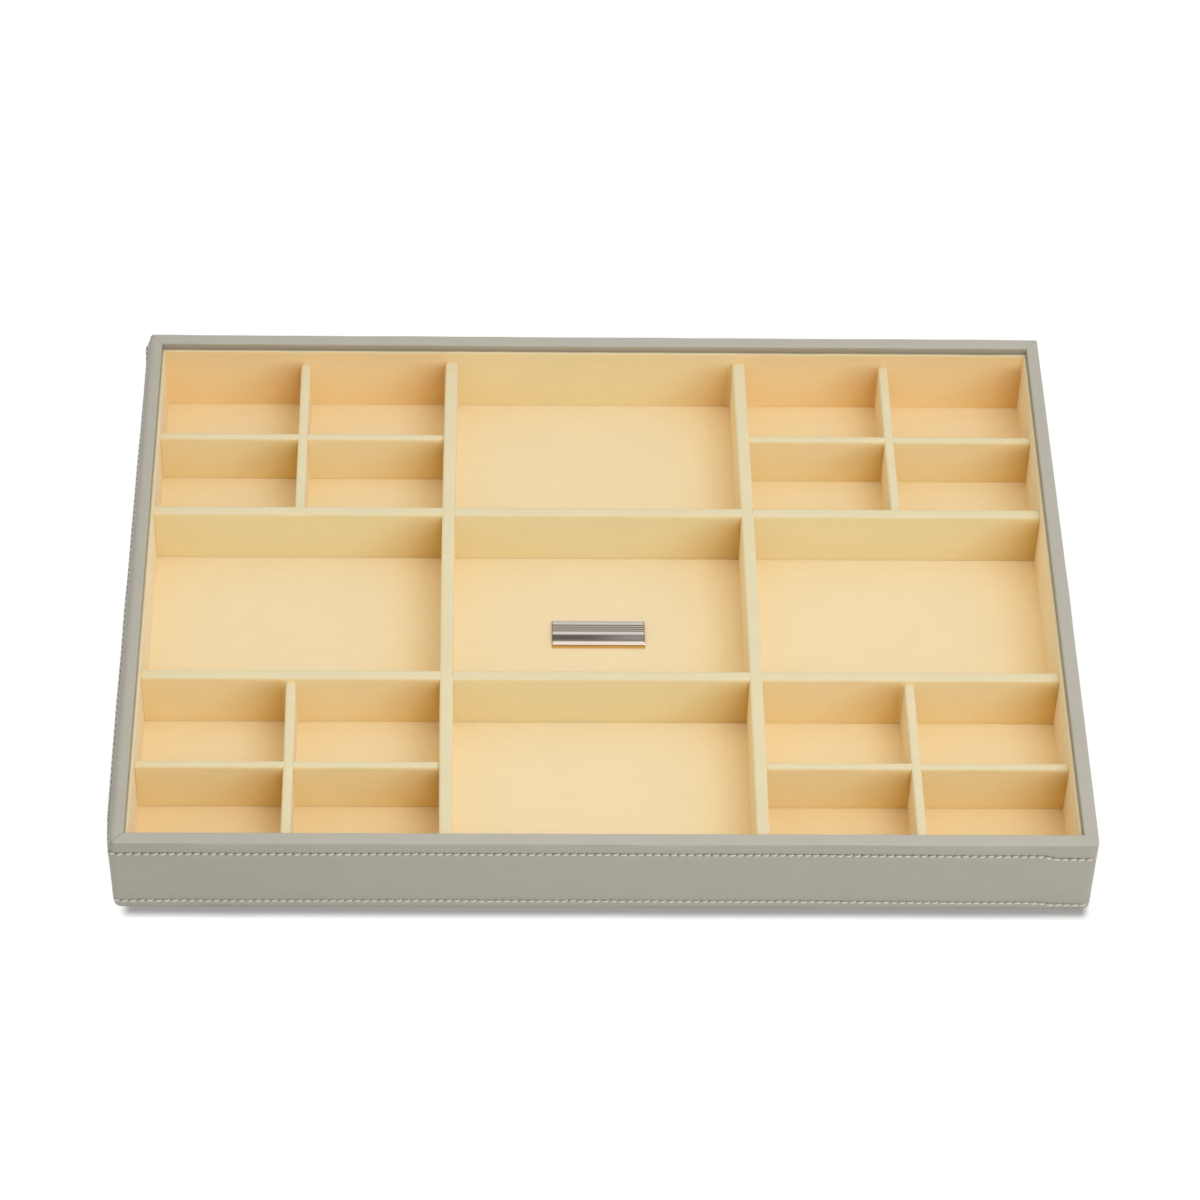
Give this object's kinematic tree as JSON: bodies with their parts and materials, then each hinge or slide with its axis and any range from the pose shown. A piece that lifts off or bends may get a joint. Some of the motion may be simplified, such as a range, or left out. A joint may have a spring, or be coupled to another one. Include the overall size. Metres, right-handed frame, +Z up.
{
  "type": "jewelry tray",
  "caption": "Low open jewelry tray: a stitched leather-covered case lined with suede and divided into compartments by half-lapped suede-wrapped boards, with a blank metal plate.",
  "frame": {"origin": "middle of the felt underside that the tray rests on", "axes": "+X left to right along the tray's length, +Y from front to back, +Z up"},
  "size_m": [0.3452, 0.2554, 0.0361],
  "materials": {
    "leather_cover": "smooth, fine-grained leather-look sheet, satin",
    "thread": "twisted thread",
    "suede": "short-napped faux suede",
    "felt": "pressed felt",
    "fibreboard": "medium-density fibreboard",
    "greyboard": "grey paperboard",
    "brad_steel": "bright drawn wire",
    "plate_metal": "polished nickel plate with a reeded face"
  },
  "bodies": {
    "root": {"base_board": "fibreboard", "left_board": "fibreboard", "right_board": "fibreboard", "front_board": "fibreboard", "back_board": "fibreboard", "corner_brads": "brad_steel", "case_cover": "leather_cover", "upper_stitching": "thread", "lower_stitching": "thread", "base_filler": "greyboard", "base_felt": "felt", "floor_card": "greyboard", "floor_suede": "suede", "front_lining_card": "greyboard", "front_lining_suede": "suede", "back_lining_card": "greyboard", "back_lining_suede": "suede", "left_lining_card": "greyboard", "left_lining_suede": "suede", "right_lining_card": "greyboard", "right_lining_suede": "suede", "left_long_divider_core": "greyboard", "left_long_divider_wrap": "suede", "right_long_divider_core": "greyboard", "right_long_divider_wrap": "suede", "front_cross_divider_core": "greyboard", "front_cross_divider_wrap": "suede", "back_cross_divider_core": "greyboard", "back_cross_divider_wrap": "suede", "front_left_thin_long_core": "greyboard", "front_left_thin_long_wrap": "suede", "front_left_thin_cross_core": "greyboard", "front_left_thin_cross_wrap": "suede", "front_right_thin_long_core": "greyboard", "front_right_thin_long_wrap": "suede", "front_right_thin_cross_core": "greyboard", "front_right_thin_cross_wrap": "suede", "back_left_thin_long_core": "greyboard", "back_left_thin_long_wrap": "suede", "back_left_thin_cross_core": "greyboard", "back_left_thin_cross_wrap": "suede", "back_right_thin_long_core": "greyboard", "back_right_thin_long_wrap": "suede", "back_right_thin_cross_core": "greyboard", "back_right_thin_cross_wrap": "suede", "nameplate": "plate_metal"}
  },
  "joints": []
}
